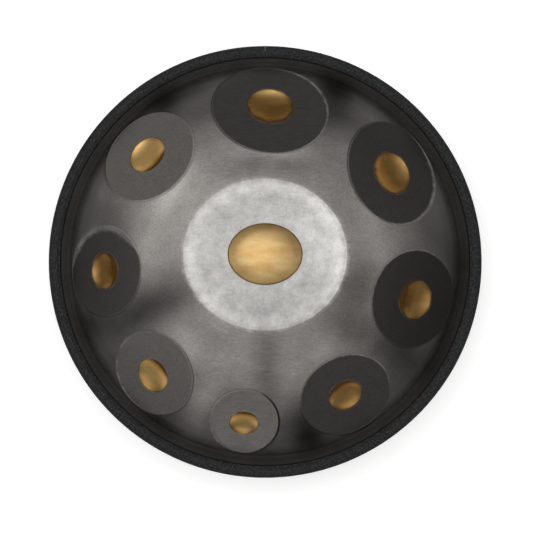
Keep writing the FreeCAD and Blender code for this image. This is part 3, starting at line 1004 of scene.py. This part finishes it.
    def with_creases(self, colour):
        """Painted shade in the crease round each cap, dark round the ding, with a patchy painted
        highlight beside the dimples' creases.
        """
        outline = self.minus(1.0, self.remap(self.math("ABSOLUTE", self.gold_edge), 0.2, 0.9))
        depth = self.blend(self.near_ding, self.remap(self.blotches, 0.4, 0.6, 0.2, 0.75), 0.75)
        colour = self.mix(self.times(outline, depth), colour, CREASE_SHADE)
        halo = self.remap(self.apart(self.dimple_edge, 1.0), 0.9, 0.1)
        halo = self.times(halo, self.remap(self.blotches, 0.52, 0.38, 0.05, 0.28))
        return self.mix(halo, colour, CREASE_HIGHLIGHT)

    def sheen(self, field_mask, gold_mask):
        """Tint at a glancing angle: the darkest painted shade patches stay dark, and the gold stays
        gold.
        """
        glancing = self.remap(self.attribute("ground_tone"), 0.006, 0.045, 0.58, 1.0)
        glancing = self.blend(field_mask, glancing, 1.0)
        return self.mix(gold_mask, self.tinted(glancing, NEUTRAL), GOLD_SHEEN)


def steel_relief(nodes, scratches, grain):
    fine = nodes.bump(scratches, FINE_BUMP, 0.6)
    return nodes.bump(grain, GRAIN_BUMP, 0.5, fine)


def playing_steel():
    nodes = PlayingSteel()
    field_mask = nodes.field_mask()
    bare_mask = nodes.bare_mask()
    gold_mask = nodes.remap(nodes.gold_edge, 0.25, -0.25)
    colour = nodes.mix(field_mask, nodes.ground(), nodes.field())
    colour = nodes.with_border(colour)
    colour = nodes.mix(bare_mask, colour, nodes.bare())
    colour = nodes.mix(gold_mask, colour, nodes.gold())
    colour = nodes.with_creases(colour)
    colour = nodes.mix(nodes.attribute("inner_face"), colour, INNER_STEEL)
    roughness = nodes.blend(field_mask, 0.42, 0.5)
    roughness = nodes.blend(bare_mask, roughness, 0.46)
    roughness = nodes.blend(gold_mask, roughness, 0.36)
    roughness = nodes.varied(roughness, (nodes.grain, 0.15))
    normal = steel_relief(nodes, nodes.scratches, nodes.grain)
    shader = nodes.surface(colour, 1.0, roughness, normal)
    nodes.set_input(shader.inputs["Specular Tint"], nodes.sheen(field_mask, gold_mask))
    return nodes.material


def shell_steel():
    nodes = Nodes("shell_steel")
    grain = nodes.noise(1.6, 4.0, 0.65)
    scratches = sanding(nodes)
    clouds = nodes.noise(60.0, 3.0, 0.55)
    tone = nodes.varied(0.12, (clouds, 0.3), (scratches, 0.4), (grain, 0.2))
    roughness = nodes.varied(0.44, (grain, 0.15))
    nodes.surface(nodes.tinted(tone, WARM_GREY), 1.0, roughness, steel_relief(nodes, scratches, grain))
    return nodes.material


def edging_rubber():
    nodes = Nodes("edging_rubber")
    cells = nodes.cells(2.6)
    grain = nodes.noise(0.9, 3.0, 0.6)
    # Lighter on each grain's middle and darker between grains: painted highlight and painted shade on
    # the pebbles
    tone = nodes.times(nodes.remap(cells, 0.1, 0.65, 1.7, 0.35), 0.008)
    tone = nodes.varied(tone, (grain, 0.3))
    roughness = nodes.remap(cells, 0.1, 0.7, 0.55, 0.75)
    pebbles = nodes.bump(nodes.minus(1.0, cells), PEBBLE_BUMP, 0.9)
    normal = nodes.bump(grain, SOFT_BUMP, 0.5, pebbles)
    shader = nodes.surface(nodes.tinted(tone, COOL_BLACK), 0.0, roughness, normal)
    shader.inputs["Specular IOR Level"].default_value = 0.35
    return nodes.material


def bond_adhesive():
    nodes = Nodes("bond_adhesive")
    lumps = nodes.noise(3.0, 3.0, 0.6)
    tone = nodes.varied(0.02, (lumps, 0.4))
    roughness = nodes.remap(lumps, 0.3, 0.7, 0.35, 0.55)
    nodes.surface(nodes.tinted(tone, NEUTRAL), 0.0, roughness, nodes.bump(lumps, SOFT_BUMP, 0.6))
    return nodes.material


def carrier_steel():
    nodes = Nodes("carrier_steel")
    strokes = nodes.noise(1.0, 3.0, 0.6, nodes.moved((1.0, 1.0, 6.0)))
    tone = nodes.varied(0.45, (strokes, 0.3))
    roughness = nodes.remap(strokes, 0.3, 0.7, 0.3, 0.45)
    nodes.surface(nodes.tinted(tone, NEUTRAL), 1.0, roughness, nodes.bump(strokes, FINE_BUMP, 0.5))
    return nodes.material


def floor_paint():
    nodes = Nodes("floor_paint")
    mottle = nodes.noise(400.0, 2.0, 0.5)
    tone = nodes.varied(0.92, (mottle, 0.01))
    shader = nodes.surface(nodes.tinted(tone, NEUTRAL), 0.0, 0.9)
    shader.inputs["Emission Color"].default_value = (1.0, 1.0, 1.0, 1.0)
    shader.inputs["Emission Strength"].default_value = FLOOR_GLOW
    return nodes.material


def dress(piece, material):
    """Give every slot of the piece this material."""
    slots = piece.data.materials
    if not len(slots):
        slots.append(material)
    for i in range(len(slots)):
        slots[i] = material


# --- Studio ---------------------------------------------------------

CLOTH_EDGE = 0.35                       # rise of the direction where the cloth overhead begins
CLOTH_FULL = 0.95
CLOTH_GLOW = 1.2
ROOM_GLOW = 0.16
FLOOR_GLOW = 0.38                       # the table is lit from below as well
CAMERA_DISTANCE = 2.0
CAMERA_TILT = math.radians(3.85)        # away from straight down, towards the player
PICTURE_SHARE = 0.406                   # of the picture's width that the rim's radius takes
SENSOR = 36.0
AIM_OFFSET = (1.7 * MM, -8.5 * MM)      # of the middle of the picture from the rim's centre
CAMERA_REACH = 50.0
FLOOR_HALF = 6.0
LAMP_PLACE = (-0.42, 0.38, 2.6)
LAMP_SIZE = 2.2
LAMP_POWER = 16.5


def make_floor():
    corners = [(-1.0, -1.0), (1.0, -1.0), (1.0, 1.0), (-1.0, 1.0)]
    points = [(FLOOR_HALF * x, FLOOR_HALF * y, 0.0) for x, y in corners]
    floor = make_piece("floor", points, [(0, 1, 2, 3)])
    dress(floor, floor_paint())


def make_camera():
    look = Vector((0.0, math.sin(CAMERA_TILT), -math.cos(CAMERA_TILT)))
    right = Vector((1.0, 0.0, 0.0))
    up = right.cross(look)
    data = bpy.data.cameras.new("camera")
    data.sensor_width = SENSOR
    data.lens = PICTURE_SHARE * SENSOR * CAMERA_DISTANCE / RIM_RADIUS
    data.clip_end = CAMERA_REACH
    camera = bpy.data.objects.new("camera", data)
    centre = Vector((0.0, 0.0, RIM_HEIGHT))
    place = centre - look * CAMERA_DISTANCE + right * AIM_OFFSET[0] + up * AIM_OFFSET[1]
    camera.matrix_world = Matrix((
        (right.x, up.x, -look.x, place.x),
        (right.y, up.y, -look.y, place.y),
        (right.z, up.z, -look.z, place.z),
        (0.0, 0.0, 0.0, 1.0)))
    bpy.context.scene.collection.objects.link(camera)
    bpy.context.scene.camera = camera


def make_lamp():
    """One large soft lamp overhead, a little to the left and back."""
    data = bpy.data.lights.new("overhead", "AREA")
    data.size = LAMP_SIZE
    data.energy = LAMP_POWER
    lamp = bpy.data.objects.new("overhead", data)
    lamp.location = LAMP_PLACE
    aim = Vector((0.0, 0.0, RIM_HEIGHT)) - Vector(LAMP_PLACE)
    lamp.rotation_euler = aim.to_track_quat("-Z", "Y").to_euler()
    lamp.visible_camera = False
    bpy.context.scene.collection.objects.link(lamp)


def make_surroundings():
    """A white cloth overhead in a dim room."""
    world = bpy.data.worlds.new("studio")
    world.use_nodes = True
    tree = world.node_tree
    coordinates = tree.nodes.new("ShaderNodeTexCoord")
    split = tree.nodes.new("ShaderNodeSeparateXYZ")
    tree.links.new(coordinates.outputs["Generated"], split.inputs[0])
    cloth = tree.nodes.new("ShaderNodeMapRange")
    cloth.interpolation_type = "SMOOTHSTEP"
    ends = {"From Min": CLOTH_EDGE, "From Max": CLOTH_FULL, "To Min": ROOM_GLOW, "To Max": CLOTH_GLOW}
    for name, end in ends.items():
        cloth.inputs[name].default_value = end
    tree.links.new(split.outputs["Z"], cloth.inputs["Value"])
    background = tree.nodes["Background"]
    background.inputs["Color"].default_value = (1.0, 1.0, 1.0, 1.0)
    tree.links.new(cloth.outputs["Result"], background.inputs["Strength"])
    bpy.context.scene.world = world


def make_studio():
    make_floor()
    make_camera()
    make_lamp()
    make_surroundings()
    view = bpy.context.scene.view_settings
    view.view_transform = "Standard"
    view.look = "None"


# --- Assembly -------------------------------------------------------

def fit(piece, slot, material, *nodes):
    """Dress a finished piece and put it in the design's place."""
    dress(piece, material)
    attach(piece, "root")
    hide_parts(*nodes)


make_studio()
fit(make_top_shell(), "playing_steel", playing_steel(), "top_shell")
fit(make_bottom_shell(), "shell_steel", shell_steel(), "bottom_shell")
fit(make_edging(), "edging_rubber", edging_rubber(), "rim_edging")
dress(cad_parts["flange_bond"], bond_adhesive())
dress(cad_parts["edging_clip_core"], carrier_steel())
